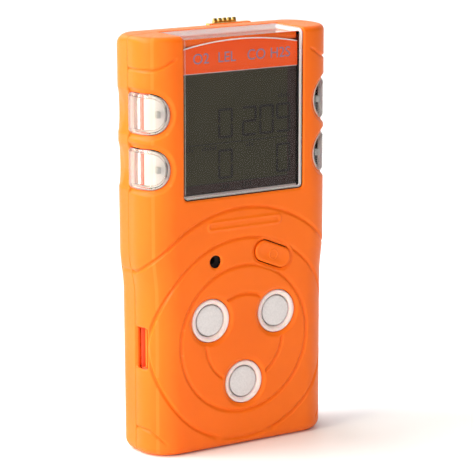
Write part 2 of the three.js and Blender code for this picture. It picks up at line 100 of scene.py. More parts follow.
SENSORS = ("left", "right", "lower")
PORTS = {name: centre(f"port_seal_{name}") for name in SENSORS}
KEY = centre("power_key")
SOUNDER = centre("sounder")
LENS_HEIGHTS = [centre(f"alarm_lens_left_{level}")[2] for level in ("upper", "lower")]
SCREWS = [centre(f"case_screw_{k}") for k in (1, 2, 3, 4)]
CONTACTS = [centre(f"charge_contact_{side}") for side in ("left", "right")]
CLIP_SCREW = centre("clip_screw")
LATCH = {"y": (-5.9, -1.6), "z": (25.0, 36.8)}
LATCH_FLOOR_X = 26.0
LATCH_MOUTH_X = 28.6
LATCH_WALL = 0.6
SLIT = 0.05  # between the pieces that line a latch pocket

KEY_LENGTH = 12.4
KEY_WIDTH = 6.0
FILTER_RADIUS = 4.36
SOUNDER_RADIUS = 1.8
SCREW_HOLE = 2.3
CONTACT_HOLE = 1.8
BOSS_RADIUS = 9.0
CLEARANCE = 0.25
# Flat details, as low x, high x, low z and high z.
PLATE = (-17, 17, 21, 57)
PLATE_FRAME = (-20.5, 20.5, 17.5, 60.5)
PLAQUE = (-12.5, 12.5, 62.9, 66.1)
PLAQUE_INSET = (-11.7, 11.7, 63.7, 65.3)
BEYOND_TOP = 40  # the window opening runs out over the top edge
SIDE_LENGTH = 4.5  # of the flat side between the corner and the parting line
FAR = 1e3  # a distance that stands for no edge nearby


# ---------------- shading helpers

def smooth(a, b, x):
    t = np.clip((x - a) / (b - a), 0, 1)
    return t * t * (3 - 2 * t)


class Nodes:
    """A short way to write a node material."""

    def __init__(self, name):
        self.material = bpy.data.materials.new(name)
        self.material.use_nodes = True
        self.tree = self.material.node_tree
        self.shader = self.tree.nodes["Principled BSDF"]
        self.output = self.tree.nodes["Material Output"]
        self.place = self.add("ShaderNodeTexCoord").outputs["Object"]

    def add(self, kind, **settings):
        node = self.tree.nodes.new(kind)
        for key, value in settings.items():
            setattr(node, key, value)
        return node

    def link(self, a, b):
        self.tree.links.new(a, b)

    def noise(self, scale, detail=4, rough=0.55, stretch=None):
        node = self.add("ShaderNodeTexNoise")
        node.inputs["Scale"].default_value = scale
        node.inputs["Detail"].default_value = detail
        node.inputs["Roughness"].default_value = rough
        place = self.place
        if stretch:
            mapping = self.add("ShaderNodeMapping")
            mapping.inputs["Scale"].default_value = stretch
            self.link(place, mapping.inputs["Vector"])
            place = mapping.outputs["Vector"]
        self.link(place, node.inputs["Vector"])
        return node.outputs["Fac"]

    def ramp(self, source, stops):
        node = self.add("ShaderNodeValToRGB")
        ramp = node.color_ramp
        while len(ramp.elements) < len(stops):
            ramp.elements.new(0.5)
        for element, (position, colour) in zip(ramp.elements, stops):
            element.position = position
            element.color = (*colour, 1)
        self.link(source, node.inputs["Fac"])
        return node.outputs["Color"]

    def span(self, source, low, high, from_low=0.3, from_high=0.7):
        node = self.add("ShaderNodeMapRange")
        node.inputs["From Min"].default_value = from_low
        node.inputs["From Max"].default_value = from_high
        node.inputs["To Min"].default_value = low
        node.inputs["To Max"].default_value = high
        self.link(source, node.inputs["Value"])
        return node.outputs["Result"]

    def mix(self, fac, a, b):
        node = self.add("ShaderNodeMix", data_type="RGBA")
        self.link(fac, node.inputs["Factor"])
        for socket, value in ((node.inputs["A"], a), (node.inputs["B"], b)):
            if isinstance(value, tuple):
                socket.default_value = (*value, 1)
            else:
                self.link(value, socket)
        return node.outputs["Result"]

    def bump(self, source, height_mm, strength=1.0, before=None):
        node = self.add("ShaderNodeBump")
        node.inputs["Strength"].default_value = strength
        node.inputs["Distance"].default_value = height_mm * MM
        self.link(source, node.inputs["Height"])
        if before is not None:
            self.link(before, node.inputs["Normal"])
        self.link(node.outputs["Normal"], self.shader.inputs["Normal"])
        return node.outputs["Normal"]

    def convex_edge(self, low=0.52, high=0.6):
        """0 on flat surfaces and 1 on convex edges."""
        geometry = self.add("ShaderNodeNewGeometry")
        return self.span(geometry.outputs["Pointiness"], 0, 1, low, high)

    def set(self, **values):
        for key, value in values.items():
            socket = self.shader.inputs[key.replace("_", " ")]
            socket.default_value = (*value, 1) if isinstance(value, tuple) else value
        return self


def moulded(name, dark, light, roughness=0.4, grain=0.012, subsurface=0.0, gloss=0.25):
    """Moulded plastic: slight mottling, fine grain, and convex edges drawn a little paler."""
    n = Nodes(name)
    mottle = n.ramp(n.noise(38, 5), ((0.3, dark), (0.7, light)))
    pale = tuple(min(1, c * 1.06 + 0.012) for c in light)
    n.link(n.mix(n.convex_edge(), mottle, pale), n.shader.inputs["Base Color"])
    n.link(n.span(n.noise(900, 3), roughness - 0.05, roughness + 0.06), n.shader.inputs["Roughness"])
    fine = n.bump(n.noise(2600, 2), grain, 0.35)
    n.bump(n.noise(60, 2), 0.03, 0.25, fine)
    n.set(Specular_IOR_Level=gloss)
    if subsurface:
        n.set(Subsurface_Weight=subsurface, Subsurface_Scale=0.002)
        n.shader.inputs["Subsurface Radius"].default_value = (1.0, 0.35, 0.15)
    return n.material


def clear(name, tint, cloud=0.002, roughness=0.03, coat=1.35):
    """Clear polycarbonate: light passes straight through, with a glossy skin and a slight haze."""
    n = Nodes(name)
    dark = tuple(c * 0.97 for c in tint)
    n.link(n.ramp(n.noise(120, 3), ((0.3, dark), (0.7, tint))), n.shader.inputs["Base Color"])
    n.link(n.span(n.noise(700, 4), roughness, roughness + 0.04), n.shader.inputs["Roughness"])
    n.bump(n.noise(90, 2), 0.01, 0.1)
    n.set(Metallic=1.0)
    see = n.add("ShaderNodeBsdfTransparent")
    see.inputs["Color"].default_value = (*tint, 1)
    edge = n.add("ShaderNodeFresnel")
    edge.inputs["IOR"].default_value = coat
    haze = n.span(n.noise(200, 2), cloud, cloud * 1.6)
    total = n.add("ShaderNodeMath", operation="ADD", use_clamp=True)
    n.link(edge.outputs["Fac"], total.inputs[0])
    n.link(haze, total.inputs[1])
    mix = n.add("ShaderNodeMixShader")
    n.link(total.outputs["Value"], mix.inputs["Fac"])
    n.link(see.outputs["BSDF"], mix.inputs[1])
    n.link(n.shader.outputs["BSDF"], mix.inputs[2])
    n.link(mix.outputs["Shader"], n.output.inputs["Surface"])
    return n.material


def metal(name, colour, roughness=0.28, brush=(40, 40, 1600)):
    """Plated or brushed metal with fine scratches along one axis."""
    n = Nodes(name)
    lines = n.noise(1, 4, 0.7, brush)
    dark = tuple(c * 0.82 for c in colour)
    n.link(n.ramp(lines, ((0.3, dark), (0.7, colour))), n.shader.inputs["Base Color"])
    n.link(n.span(n.noise(300, 4), roughness - 0.06, roughness + 0.1), n.shader.inputs["Roughness"])
    n.bump(lines, 0.01, 0.3)
    n.set(Metallic=1.0)
    return n.material


def woven(name, colour, roughness=0.9):
    """A fine felt-like membrane."""
    n = Nodes(name)
    dark = tuple(c * 0.86 for c in colour)
    fibres = n.noise(1800, 6, 0.75)
    n.link(n.ramp(fibres, ((0.35, dark), (0.65, colour))), n.shader.inputs["Base Color"])
    n.link(n.span(n.noise(500), roughness - 0.08, roughness), n.shader.inputs["Roughness"])
    n.bump(fibres, 0.04, 0.5)
    return n.material


ORANGE_DARK = (0.92, 0.150, 0.0035)
ORANGE_LIGHT = (0.99, 0.172, 0.0045)
# Each moulded material: dark and light tone, then roughness, grain and subsurface where given.
MOULDED = {
    "case_orange": (ORANGE_DARK, ORANGE_LIGHT, 0.40, 0.012, 0.12),
    "key_orange": (ORANGE_DARK, ORANGE_LIGHT, 0.34, 0.006, 0.12),
    # A darker copy of the case orange: painted shade for the parts seen behind the window.
    "inner_orange_painted_shade": ((0.80, 0.10, 0.004), (0.92, 0.14, 0.006), 0.5),
    "strip_orange": ((0.90, 0.070, 0.002), (0.98, 0.095, 0.003), 0.35, 0.004),
    "strip_print": ((0.20, 0.17, 0.26), (0.26, 0.22, 0.33), 0.5, 0.004),
    "white_plastic": ((0.78, 0.74, 0.73), (0.86, 0.83, 0.82), 0.45, 0.01, 0.1),
    "sensor_can": ((0.70, 0.68, 0.66), (0.80, 0.78, 0.76), 0.5),
    # port_ring: white rings tinted pink; the tint is painted reflection of the orange case.
    "port_ring": ((0.86, 0.66, 0.63), (0.93, 0.76, 0.74), 0.3, 0.006, 0.35),
    "black_plastic": ((0.010, 0.010, 0.011), (0.022, 0.021, 0.022), 0.45),
    "black_rubber": ((0.008, 0.008, 0.008), (0.018, 0.017, 0.017), 0.7),
    # coral_rubber: the case orange as it looks in shadow, painted shade for the ribs beside each light.
    "coral_rubber": ((0.72, 0.09, 0.035), (0.85, 0.14, 0.06), 0.5),
    # Latch pocket walls: the case orange as it looks in shadow, painted shade.
    "pocket_painted_shade": ((0.75, 0.10, 0.03), (0.85, 0.14, 0.05), 0.45),
    "lamp_grey": ((0.42, 0.42, 0.42), (0.55, 0.55, 0.54), 0.4),
    "board_green": ((0.008, 0.07, 0.02), (0.015, 0.12, 0.04), 0.35),
    "battery_wrap": ((0.03, 0.08, 0.2), (0.05, 0.12, 0.27), 0.3),
    "plate_print": ((0.66, 0.65, 0.62), (0.74, 0.73, 0.70), 0.45, 0.004),
    "plate_ink": ((0.02, 0.02, 0.022), (0.035, 0.035, 0.038), 0.5, 0.003),
    # Pale pinkish rims: painted highlight on the edges of the clear parts, the display and the name strip.
    "rim_painted_highlight": ((0.80, 0.68, 0.65), (0.92, 0.82, 0.79), 0.25, 0.004, 0.2),
}
M = {name: moulded(name, *look) for name, look in MOULDED.items()}
M |= {
    "filter_cloth": woven("filter_cloth", (0.80, 0.76, 0.755)),
    "window_clear": clear("window_clear", (0.985, 0.98, 0.975), 0.001, 0.03, 1.10),
    "lens_clear": clear("lens_clear", (0.97, 0.955, 0.945), 0.02, 0.06),
    "steel": metal("steel", (0.62, 0.61, 0.60)),
    "clip_metal": metal("clip_metal", (0.86, 0.56, 0.14), 0.3, (1600, 60, 60)),
    "contact_gold": metal("contact_gold", (0.83, 0.58, 0.20), 0.22),
}


def display_glass():
    """Dark liquid-crystal glass, slightly uneven in tone and in gloss."""
    n = Nodes("lcd")
    base = n.ramp(n.noise(22, 3), ((0.3, (0.046, 0.043, 0.028)), (0.7, (0.054, 0.050, 0.033))))
    n.link(base, n.shader.inputs["Base Color"])
    n.link(n.span(n.noise(400), 0.28, 0.36), n.shader.inputs["Roughness"])
    n.set(Specular_IOR_Level=0.15)
    return n.material


M["lcd"] = display_glass()
M["lcd_ink"] = moulded("lcd_ink", (0.006, 0.005, 0.004), (0.012, 0.010, 0.008), 0.5, 0.002)
# Painted shade: a dark reddish sheet for the shaded parts of the display.
M["lcd_painted_shade"] = moulded("lcd_painted_shade", (0.016, 0.008, 0.008), (0.028, 0.013, 0.012), 0.3, 0.002)


# ---------------- mesh helpers

def add_object(name, verts_mm, faces, material, body="case", smooth_faces=True):
    mesh = bpy.data.meshes.new(name)
    mesh.from_pydata((np.asarray(verts_mm) * MM).tolist(), [], faces)
    mesh.validate()
    mesh.materials.append(M[material])
    if smooth_faces:
        mesh.shade_smooth()
    piece = bpy.data.objects.new(name, mesh)
    bpy.context.scene.collection.objects.link(piece)
    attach(piece, body)
    return piece


def apply_modifiers(piece):
    bpy.context.view_layer.update()
    graph = bpy.context.evaluated_depsgraph_get()
    made = bpy.data.meshes.new_from_object(piece.evaluated_get(graph))
    piece.modifiers.clear()
    piece.data = made
    return piece


def thicken(piece, depth, rim_slot=None):
    modifier = piece.modifiers.new("wall", "SOLIDIFY")
    modifier.thickness = depth * MM
    modifier.offset = -1
    if rim_slot is not None:
        modifier.material_offset_rim = rim_slot
    return apply_modifiers(piece)


def from_bmesh(bm, name, material, body="case"):
    mesh = bpy.data.meshes.new(name)
    bmesh.ops.recalc_face_normals(bm, faces=bm.faces)
    bm.to_mesh(mesh)
    bm.free()
    mesh.transform(Matrix.Diagonal((MM, MM, MM, 1)))
    mesh.materials.append(M[material])
    mesh.shade_smooth()
    piece = bpy.data.objects.new(name, mesh)
    bpy.context.scene.collection.objects.link(piece)
    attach(piece, body)
    return piece


def join_loops(bm, loops):
    """Quads between each loop of vertices and the next, with a cap at each end."""
    count = len(loops[0])
    for a, b in zip(loops[:-1], loops[1:]):
        for i in range(count):
            j = (i + 1) % count
            bm.faces.new((a[i], a[j], b[j], b[i]))
    bm.faces.new(loops[0])
    bm.faces.new(loops[-1][::-1])


# ---------------- outlines, as signed distances

def circle_distance(x, z, cx, cz, radius):
    return np.hypot(x - cx, z - cz) - radius


def stadium_distance(x, z, cx, cz, length, width, turn):
    along = (x - cx) * math.cos(turn) + (z - cz) * math.sin(turn)
    across = -(x - cx) * math.sin(turn) + (z - cz) * math.cos(turn)
    straight = (length - width) / 2
    return np.hypot(along - np.clip(along, -straight, straight), across) - width / 2


def box_distance(a, b, low_a, high_a, low_b, high_b, corner=0.8):
    da = np.abs(a - (low_a + high_a) / 2) - ((high_a - low_a) / 2 - corner)
    db = np.abs(b - (low_b + high_b) / 2) - ((high_b - low_b) / 2 - corner)
    outside = np.hypot(np.maximum(da, 0), np.maximum(db, 0))
    return outside + np.minimum(np.maximum(da, db), 0) - corner


def window_distance(x, z):
    return box_distance(x, z, -WINDOW_HALF, WINDOW_HALF, WINDOW_BOTTOM, TOP + BEYOND_TOP, 1.0)


def lens_distance(x, z):
    """Least distance to the outline of any alarm light: round towards the display and open at the side."""
    best = np.full(np.shape(x), FAR)
    for height in LENS_HEIGHTS:
        inward = np.maximum(LENS_CENTRE_X - np.abs(x), 0)
        best = np.minimum(best, np.hypot(inward, z - height) - LENS_HALF)
    return best


def port_distance(x, z):
    return np.minimum.reduce([circle_distance(x, z, c[0], c[2], PORT_RADIUS) for c in PORTS.values()])


def key_distance(x, z):
    return stadium_distance(x, z, KEY[0], KEY[2], KEY_LENGTH, KEY_WIDTH, KEY_TURN)


def sounder_distance(x, z):
    return circle_distance(x, z, SOUNDER[0], SOUNDER[2], SOUNDER_RADIUS)


def latch_distance(x, y, z):
    d = box_distance(y, z, *LATCH["y"], *LATCH["z"], 0.6)
    return np.where(np.abs(x) > LATCH_FLOOR_X - 2, d, FAR)


# ---------------- the case's skin as a fine grid

def case_half(z):
    return NARROW + (WIDE - NARROW) * smooth(*WAIST, z)


def parting_y(z):
    return PARTING["lower"] + (PARTING["upper"] - PARTING["lower"]) * smooth(*WAIST, z)


def parting_over_top(x):
    rise = PARTING["over_window"] - PARTING["upper"]
    return PARTING["upper"] + rise * (1 - smooth(WINDOW_HALF + 0.5, 28.5, np.abs(x)))


def case_skin(facing, step):
    """Points and quads of half of the case. facing is -1 for the front half and 1 for the rear half."""
    corner = FRONT_CORNER if facing < 0 else REAR_CORNER
    face_y = FRONT if facing < 0 else REAR
    centre_y = face_y - facing * corner
    side_count = max(4, round(SIDE_LENGTH / step))
    arc_count = round(corner * math.pi / 2 / step)
    flat_count = round(2 * (WIDE - corner) / step)

    def edge_y(z):
        """Where this half ends on the side, half of the parting gap short of the line."""
        return float(parting_y(z)) + facing * PARTING_GAP / 2

    def ring(half, inset, y_end):
        """One row of points, from the left parting round the face to the right parting."""
        cx = half - corner
        radius = corner - inset
        side = np.linspace(0, 1, side_count, endpoint=False)
        turn = np.linspace(0, math.pi / 2, arc_count, endpoint=False)
        along = np.linspace(-cx, cx, flat_count + 1)
        left = [(-(half - inset), y_end + (centre_y - y_end) * t) for t in side]
        left += [(-cx - radius * math.cos(a), centre_y + facing * radius * math.sin(a)) for a in turn]
        flat = [(x, centre_y + facing * radius) for x in along[:-1]]
        right = [(-x, y) for x, y in reversed(left)]
        return np.array(left + flat + [(cx, centre_y + facing * radius)] + right)

    def edge_radius(points, at_top):
        """The top and bottom edges are rounder behind than in front."""
        near = TOP_EDGE if at_top else BOTTOM_EDGE
        if facing < 0:
            return np.full(len(points), near)
        back = smooth(1.0, 9.0, points[:, 1])
        return near + (REAR_EDGE - near) * back

    bottom_turns = np.linspace(0, math.pi / 2, max(5, round(BOTTOM_EDGE * 1.57 / step)))
    top_turns = np.linspace(0, math.pi / 2, max(5, round(TOP_EDGE * 1.57 / step)))[::-1]

    def level(z_base, turn, at_top):
        """A row on the rounded edge, at that turn from the horizontal face."""
        half = float(case_half(z_base))
        y_end = edge_y(z_base)
        outer = ring(half, 0, y_end)
        radius = edge_radius(outer, at_top)
        inset = radius * (1 - math.sin(turn))
        deepest = ring(half, 1.0, y_end)
        pulled = outer + (deepest - outer) * inset[:, None]
        drop = radius * (1 - math.cos(turn))
        z = TOP - drop if at_top else drop
        return np.column_stack([pulled, z])

    def cap_rows(at_top):
        """Rows over the flat end, from its edge to the middle strip."""
        base = TOP if at_top else 0
        half = float(case_half(base))
        y_end = edge_y(base)
        made = []
        outer = ring(half, 0, y_end)
        deepest = ring(half, 1.0, y_end)
        radius = edge_radius(outer, at_top)
        for share in np.linspace(0, 1, max(6, round(corner / (3 * step))))[1:]:
            inset = radius + (corner - radius) * share
            pulled = outer + (deepest - outer) * inset[:, None]
            made.append(np.column_stack([pulled, np.full(len(pulled), float(base))]))
        return made

    def straight_rows():
        low, high = REAR_EDGE + 0.4, TOP - REAR_EDGE - 0.4
        made = []
        for z in np.linspace(low, high, round((high - low) / step) + 1):
            points = ring(float(case_half(z)), 0, edge_y(z))
            made.append(np.column_stack([points, np.full(len(points), z)]))
        return made

    bottom_cap = cap_rows(False)[::-1]
    top_cap = cap_rows(True)
    rows = bottom_cap
    rows += [level(0, t, False) for t in bottom_turns]
    rows += straight_rows()
    rows += [level(TOP, t, True) for t in top_turns]
    rows += top_cap
    grid = np.array(rows)
    row_count, column_count = grid.shape[:2]
    points = grid.reshape(-1, 3)
    index = np.arange(row_count * column_count).reshape(row_count, column_count)
    quads = np.stack([index[:-1, :-1], index[:-1, 1:], index[1:, 1:], index[1:, :-1]], -1).reshape(-1, 4)
    quads = quads.tolist()

    # The middle strip of each end is a small grid between the last row's two straight sides.
    first = side_count + arc_count
    last = column_count - 1 - first
    points = points.tolist()
    for row, flip in ((0, True), (row_count - 1, False)):
        columns = list(range(first, last + 1))
        lines = [[int(index[row, c]) for c in columns]]
        for k in range(side_count, 0, -1):
            left_id, right_id = int(index[row, k - 1]), int(index[row, column_count - k])
            y = points[left_id][1]
            z = points[left_id][2]
            line = [left_id]
            for c in columns[1:-1]:
                points.append([points[int(index[row, c])][0], y, z])
                line.append(len(points) - 1)
            line.append(right_id)
            lines.append(line)
        for a, b in zip(lines[:-1], lines[1:]):
            for i in range(len(a) - 1):
                quad = [a[i], a[i + 1], b[i + 1], b[i]]
                quads.append(quad[::-1] if flip else quad)
    points = np.array(points)

    # The back leans forward towards the base.
    if facing > 0:
        lean = REAR_TAPER * (1 - points[:, 2] / TOP)
        points[:, 1] -= lean * np.clip((points[:, 1] - PARTING["upper"]) / (REAR - PARTING["upper"]), 0, 1)

    # Over the top the parting line runs further back behind the window.
    on_top = smooth(TOP - REAR_EDGE, TOP - 0.6, points[:, 2])
    wanted = parting_over_top(points[:, 0]) + facing * PARTING_GAP / 2
    plain = edge_y(TOP)
    y = points[:, 1]
    behind = (y - centre_y) * -facing > 0
    share = (y - centre_y) / (plain - centre_y)
    moved = centre_y + share * (wanted - centre_y)
    points[:, 1] = np.where(behind, y + (moved - y) * on_top, y)
    if facing > 0:
        quads = [q[::-1] for q in quads]
    return points, quads


def point_normals(points, faces):
    mesh = bpy.data.meshes.new("scratch")
    mesh.from_pydata(points.tolist(), [], faces)
    made = np.zeros(len(points) * 3)
    mesh.vertices.foreach_get("normal", made)
    bpy.data.meshes.remove(mesh)
    return made.reshape(-1, 3)


def trim(points, faces, field, step):
    """Keeps the part of a surface where field(points) is positive, with a clean edge along its zero line."""
    normals = point_normals(points, faces)
    value = field(points)
    near = np.abs(value) < step * 0.3
    slope = np.zeros_like(points)
    for axis in range(3):
        shift = np.zeros(3)
        shift[axis] = 0.01
        slope[near, axis] = (field(points[near] + shift) - field(points[near] - shift)) / 0.02
    slope -= normals * (slope * normals).sum(1, keepdims=True)
    length = (slope ** 2).sum(1)
    usable = near & (length > 0.05)
    points = points.copy()
    points[usable] -= slope[usable] * (value[usable] / length[usable])[:, None]
    value[usable] = 0
    made, cut_at = points.tolist(), {}

    def crossing(a, b):
        key = (min(a, b), max(a, b))
        if key not in cut_at:
            t = value[a] / (value[a] - value[b])
            made.append((points[a] + t * (points[b] - points[a])).tolist())
            cut_at[key] = len(made) - 1
        return cut_at[key]

    kept = []
    for face in faces:
        signs = [value[i] for i in face]
        if min(signs) >= 0:
            if max(signs) > 0:
                kept.append(face)
            continue
        if max(signs) <= 0:
            continue
        outline = []
        for a, b in zip(face, list(face[1:]) + [face[0]]):
            if value[a] >= 0:
                outline.append(a)
            if value[a] * value[b] < 0:
                outline.append(crossing(a, b))
        if len(outline) > 2:
            kept.append(outline)
    used = sorted({i for face in kept for i in face})
    renumber = {old: new for new, old in enumerate(used)}
    return np.array(made)[used], [[renumber[i] for i in face] for face in kept]


def sink(points, faces, depth):
    """Moves the surface inwards by depth(points, normals), in millimetres."""
    normals = point_normals(points, faces)
    return points - normals * depth(points, normals)[:, None]


# ---------------- front cover

def surface_distance(distance, slope_x, slope_z, normals):
    """A front-view distance turned into one along the surface, for grooves that wrap round a corner."""
    along = slope_x * normals[:, 0] + slope_z * normals[:, 2]
    return distance / np.sqrt(np.clip(1 - along ** 2, 0.02, 1))


def groove(distance, width, depth):
    inside = np.clip(np.abs(distance) / (width / 2), 0, 1)
    return depth * (1 - inside) * (1 + 0.35 * inside)


def sweep_height(x, z):
    """The height of the long line that arches over the dial and runs out level on the sides."""
    across = np.abs(x)
    arch = DIAL_Z + np.sqrt(np.maximum(SWEEP_RADIUS ** 2 - across ** 2, 1))
    start = DIAL_Z + math.sqrt(SWEEP_RADIUS ** 2 - SWEEP_TURN_X ** 2)
    centre_x = case_half(z) - FRONT_CORNER
    turn = np.arcsin(np.clip((across - centre_x) / FRONT_CORNER, 0, 1))
    first = math.asin((SWEEP_TURN_X - (WIDE - FRONT_CORNER)) / FRONT_CORNER)
    share = np.clip((turn - first) / (math.pi / 2 - first), 0, 1)
    run_out = SWEEP_SIDE_Z + (start - SWEEP_SIDE_Z) * (1 - share) ** 1.34
    return np.where(across < SWEEP_TURN_X, arch, run_out)


def shoulder_height(x):
    """The short line over each shoulder, which falls towards the side."""
    return 109.0 + 3.0 * (1 - smooth(21.5, 30.0, np.abs(x))) ** 1.6


def foot_height(x):
    """The short line under each side, which falls towards the front."""
    return 7.8 - 4.2 * (1 - smooth(24.5, 30.0, np.abs(x)))


def front_depth(points, normals):
    x, y, z = points.T
    clear_of_ports = smooth(0.9, 1.5, port_distance(x, z))
    clear_of_key = smooth(0.9, 1.5, key_distance(x, z)) * smooth(0.6, 1.0, sounder_distance(x, z))
    on_front = (normals[:, 1] < 0.3).astype(float)
    depth = np.zeros(len(points))
    radius = np.maximum(np.hypot(x, z - DIAL_Z), 1e-3)
    for ring_radius in RINGS:
        distance = surface_distance(radius - ring_radius, x / radius, (z - DIAL_Z) / radius, normals)
        fade = smooth(0.25, 0.6, -normals[:, 1])
        depth = np.maximum(depth, groove(distance, 1.25, 0.62) * clear_of_ports * clear_of_key * fade)
    slope = np.where(np.abs(x) < SWEEP_TURN_X, x / np.sqrt(np.maximum(SWEEP_RADIUS ** 2 - x ** 2, 1)), 0.35)
    distance = (z - sweep_height(x, z)) / np.sqrt(1 + slope ** 2)
    depth = np.maximum(depth, groove(distance, 1.3, 0.62) * on_front)
    # The short lines over each shoulder and under each side.
    shoulder = z - shoulder_height(x)
    reach = smooth(21.5, 23.5, np.abs(x))
    depth = np.maximum(depth, groove(shoulder, 1.1, 0.55) * reach * (z < TOP - 3))
    foot = z - foot_height(x)
    depth = np.maximum(depth, groove(foot, 1.1, 0.5) * smooth(24.5, 26.5, np.abs(x)))
    # Bezels: a scoop round each light, and softly rounded rims round the other openings.
    bezels = (
        (0.75, 0.5, 1.7, lens_distance(x, z)),
        (0.55, 0.0, 1.1, port_distance(x, z) - 0.1),
        (0.40, 0.2, 0.9, key_distance(x, z) - 0.25),
        (0.30, 0.0, 0.5, sounder_distance(x, z)),
        (0.35, 0.0, 0.5, window_distance(x, z) - 0.25),
        (0.35, 0.0, 0.5, latch_distance(x, y, z)),
    )
    for amount, start, end, distance in bezels:
        depth = np.maximum(depth, amount * (1 - smooth(start, end, distance)))
    # A plain raised plaque under the window, with an inset.
    plaque = box_distance(x, z, *PLAQUE, 1.5)
    depth = depth - 0.24 * (1 - smooth(-0.35, 0.1, plaque)) * (normals[:, 1] < -0.9)
    inset = box_distance(x, z, *PLAQUE_INSET, 0.7)
    return depth + 0.20 * (1 - smooth(-0.25, 0.1, inset)) * (normals[:, 1] < -0.9)


STEP = 0.25
FRONT_SKIN = case_skin(-1, STEP)


def front_openings(points):
    x, y, z = points.T
    facing_front = y < FRONT + 3
    ports = np.where(facing_front, port_distance(x, z), FAR)
    key = np.where(facing_front, key_distance(x, z) - CLEARANCE, FAR)
    sound = np.where(facing_front, sounder_distance(x, z), FAR)
    window_edge = window_distance(x, z) - CLEARANCE
    lens_edge = lens_distance(x, z) - CLEARANCE
    return np.minimum.reduce([window_edge, lens_edge, ports, key, sound, latch_distance(x, y, z)])


def front_cover():
    points, faces = trim(*FRONT_SKIN, front_openings, STEP)
    points = sink(points, faces, front_depth)
    piece = add_object("front_shell", points, faces, "case_orange")
    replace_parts(thicken(piece, WALL), "front_cover")


def rear_depth(points, normals):
    """Hollows behind each light, the long line running on round the side, and the details of the back."""
    x, y, z = points.T
    on_side = smooth(0.5, 0.9, np.abs(normals[:, 0]))
    depth = np.zeros(len(points))
    for height in LENS_HEIGHTS:
        share = np.clip(np.abs(z - height) / (LENS_HALF + 0.6), 0, 1)
        depth = np.maximum(depth, 1.35 * np.cos(share * math.pi / 2) ** 0.8 * (1 - smooth(5.0, 10.5, y)))
    depth *= on_side
    depth = np.maximum(depth, groove(z - SWEEP_SIDE_Z, 1.2, 0.4) * on_side * (y < 6))
    screw = np.minimum.reduce([circle_distance(x, z, c[0], c[2], SCREW_HOLE + 0.1) for c in SCREWS])
    plate = box_distance(x, z, *PLATE, 0.8)
    on_back = normals[:, 1] > 0.8
    depth = np.maximum(depth, 0.4 * (1 - smooth(0, 0.6, screw)) * on_back)
    depth = np.maximum(depth, 0.55 * (1 - smooth(-0.2, 0.25, plate)) * on_back)
    frame_line = np.abs(box_distance(x, z, *PLATE_FRAME, 3.0))
    return np.maximum(depth, groove(frame_line, 1.1, 0.35) * on_back)


def rear_y(z):
    """How far back the leaning back is at a height."""
    return REAR - REAR_TAPER * (1 - z / TOP)


def rear_openings(points):
    x, y, z = points.T
    screws = [circle_distance(x, z, c[0], c[2], SCREW_HOLE) for c in SCREWS]
    contacts = [circle_distance(x, z, c[0], c[2], CONTACT_HOLE) for c in CONTACTS]
    boss = [circle_distance(x, z, CLIP_SCREW[0], CLIP_SCREW[2], BOSS_RADIUS)]
    return np.where(y > rear_y(z) - 2, np.minimum.reduce(screws + contacts + boss), FAR)


def rear_cover():
    points, faces = trim(*case_skin(1, STEP * 1.6), rear_openings, STEP)
    points = sink(points, faces, rear_depth)
    piece = add_object("rear_shell", points, faces, "case_orange")
    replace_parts(thicken(piece, WALL), "rear_cover")


# ---------------- window and lights, cut from the same skin

def window():
    points, faces = trim(*FRONT_SKIN, lambda p: -window_distance(p[:, 0], p[:, 2]), STEP)

    def depth(p, normals):
        rim = 0.25 * (1 - smooth(0.0, 0.4, -window_distance(p[:, 0], p[:, 2])))
        return 0.12 + rim

    points = sink(points, faces, depth)
    piece = add_object("window_pane", points, faces, "window_clear")
    # The pane's rim faces are drawn pale: painted highlight.
    piece.data.materials.append(M["rim_painted_highlight"])
    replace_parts(thicken(piece, 0.9, 1), "display_window")


def alarm_light(side, level, height):
    def inside(p):
        x, z = p[:, 0] * side, p[:, 2]
        reach = -(np.hypot(np.maximum(LENS_CENTRE_X - x, 0), z - height) - LENS_HALF)
        return np.where(x > 15, reach, -10)

    def depth(p, normals):
        return 0.1 + 0.45 * (1 - smooth(0.0, 0.9, inside(p)))

    points, faces = trim(*FRONT_SKIN, inside, STEP)
    points = sink(points, faces, depth)
    place = f"{side_name_of(side)}_{level}"
    piece = add_object(f"light_lens_{place}", points, faces, "lens_clear")
    # The lens's rim faces are drawn pale: painted highlight.
    piece.data.materials.append(M["rim_painted_highlight"])
    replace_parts(thicken(piece, 1.2, 1), f"alarm_lens_{place}")


# ---------------- port rings, filters and key

def turned(name, profile, at, material, sides=96, body="case"):
    """A body of revolution about the Y axis through at. The profile is a closed loop of (radius, y)."""
    verts, faces = [], []
    count = len(profile)
    for k in range(sides):
        a = 2 * math.pi * k / sides
        verts += [(at[0] + r * math.cos(a), y, at[2] + r * math.sin(a)) for r, y in profile]
    for k in range(sides):
        for i in range(count):
            a, b = k * count + i, k * count + (i + 1) % count
            c, d = ((k + 1) % sides) * count + (i + 1) % count, ((k + 1) % sides) * count + i
            faces.append((a, b, c, d))
    bm = bmesh.new()
    made = [bm.verts.new(v) for v in verts]
    for f in faces:
        bm.faces.new([made[i] for i in f])
    bmesh.ops.remove_doubles(bm, verts=bm.verts, dist=1e-5)
    return from_bmesh(bm, name, material, body)


